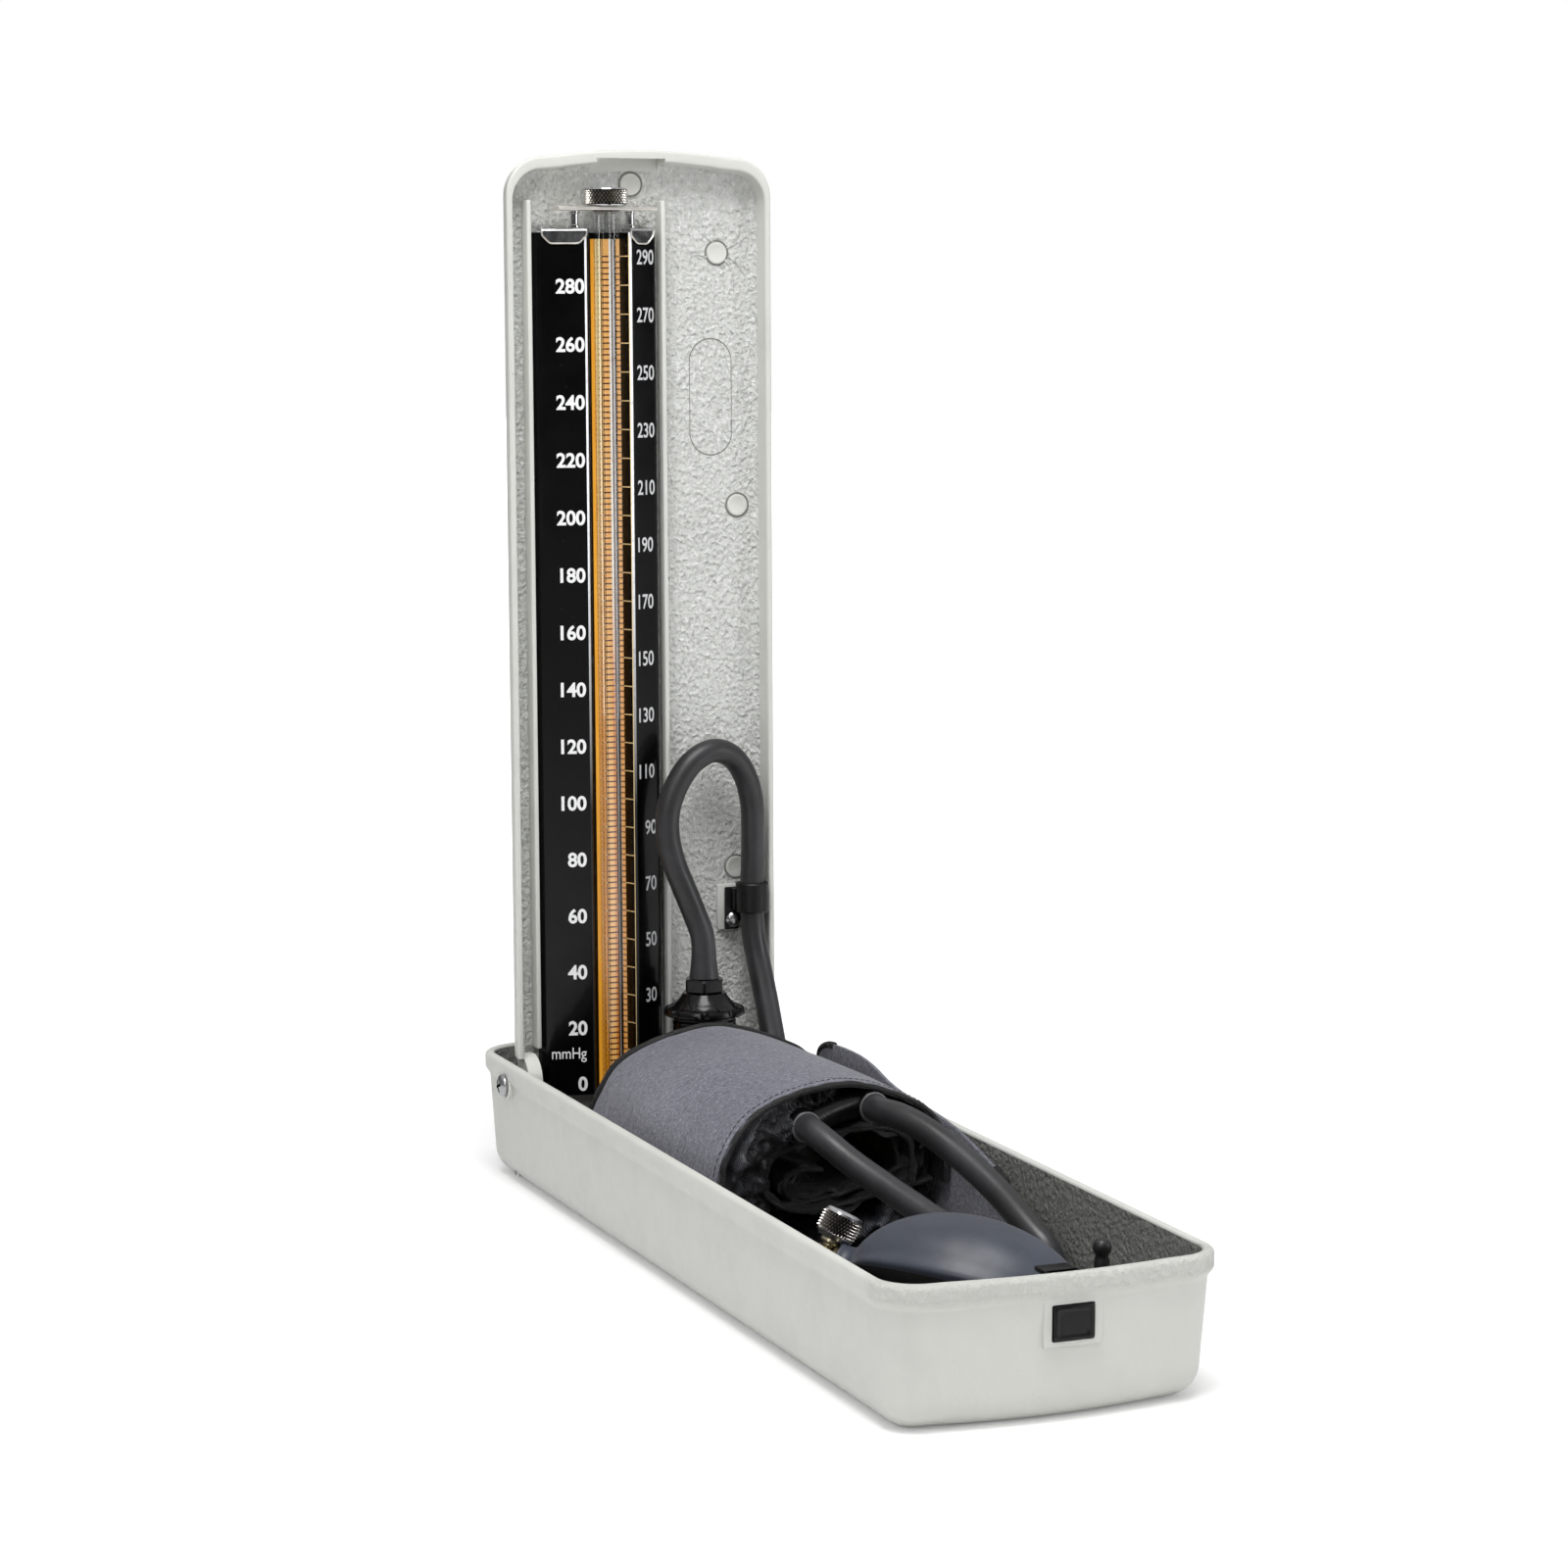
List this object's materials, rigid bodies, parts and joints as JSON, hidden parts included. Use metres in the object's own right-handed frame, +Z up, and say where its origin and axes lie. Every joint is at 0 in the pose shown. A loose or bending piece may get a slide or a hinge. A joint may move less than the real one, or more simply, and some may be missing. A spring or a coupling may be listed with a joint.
{
  "type": "mercury sphygmomanometer",
  "caption": "Desk mercury blood pressure gauge: cast tray, upright hinged lid with scale plate and glass column, rolled cuff, rubber bulb and hoses.",
  "frame": {"origin": "centre of the bounding box at the bottom of the tray", "axes": "+Z up, +X to the right seen from the latch end, +Y from the latch end towards the hinge; lid shown open"},
  "size_m": [0.1106, 0.3576, 0.3544],
  "materials": {
    "enamel": "satin stove enamel",
    "enamel_lid": "satin stove enamel",
    "black_steel": "gloss black",
    "black_plastic": "satin black",
    "rubber": "matte black",
    "bulb_rubber": "satin grey blue",
    "chrome": "bright plated",
    "glass": "clear",
    "amber": "printed amber strip",
    "mercury": "liquid mirror",
    "cloth": "brushed loop cloth",
    "nylon": "matte black",
    "steel": "bright steel",
    "leather": "plain"
  },
  "bodies": {
    "tray_body": {"tray": "enamel", "hinge_screw_left": "steel", "hinge_screw_right": "steel", "latch_spring": "steel", "latch_plate": "steel", "latch_screw_left": "steel", "latch_screw_right": "steel", "lid_bumper": "rubber", "cuff": "cloth", "cuff_bladder": "nylon", "port_ring_left": "chrome", "port_ring_right": "chrome", "bulb": "bulb_rubber", "bulb_inlet": "chrome", "valve_body": "chrome", "manometer_hose": "rubber", "bulb_hose": "rubber", "hose_guide": "black_plastic"},
    "lid_body": {"lid": "enamel_lid", "scale_plate": "black_steel", "scale_backing": "amber", "glass_tube": "glass", "mercury_column": "mercury", "tube_bottom_seal": "rubber", "tube_foot": "black_plastic", "tube_top_seal": "rubber", "tube_bridge": "chrome", "plate_clip_left": "chrome", "plate_clip_right": "chrome", "bridge_post_left": "chrome", "bridge_post_right": "chrome", "reservoir": "black_plastic", "mercury_pool": "mercury", "filter_disc": "leather", "reservoir_gasket": "rubber", "reservoir_cap": "black_plastic", "hose_nipple": "black_plastic", "hose_collar": "rubber", "lid_hose": "rubber", "hose_clip": "black_plastic", "hose_clip_screw": "steel"},
    "latch_body": {"latch_button": "black_plastic", "latch_hook": "black_plastic"},
    "valve_knob_body": {"valve_knob": "chrome"},
    "tube_nut_body": {"tube_nut": "chrome"}
  },
  "joints": [
    {"name": "lid_hinge", "type": "hinge", "parent": "tray_body", "child": "lid_body", "pos_m": [0, 0.14485, 0.0355], "axis": [1, 0, 0], "range_deg": [0, 91.15], "deforming": ["cuff", "cuff_bladder", "port_ring_left", "port_ring_right", "bulb", "bulb_inlet", "valve_body", "valve_knob", "manometer_hose", "bulb_hose"]},
    {"name": "latch_slide", "type": "slide", "parent": "tray_body", "child": "latch_body", "axis": [0, 1, 0], "range_m": [0, 0.0022], "stiffness_N_per_m": 500, "springref_m": -0.002, "deforming": ["latch_spring"]},
    {"name": "valve_screw", "type": "hinge", "parent": "tray_body", "child": "valve_knob_body", "pos_m": [-0.038, -0.09615, 0.0305], "axis": [0.4847, 0, 0.8747], "range_deg": [0, 540]},
    {"name": "tube_nut_turn", "type": "hinge", "parent": "lid_body", "child": "tube_nut_body", "pos_m": [-0.0128, 0.14927, 0.33527], "axis": [0, 0.0201, 0.9998], "range_deg": [0, 720]}
  ]
}
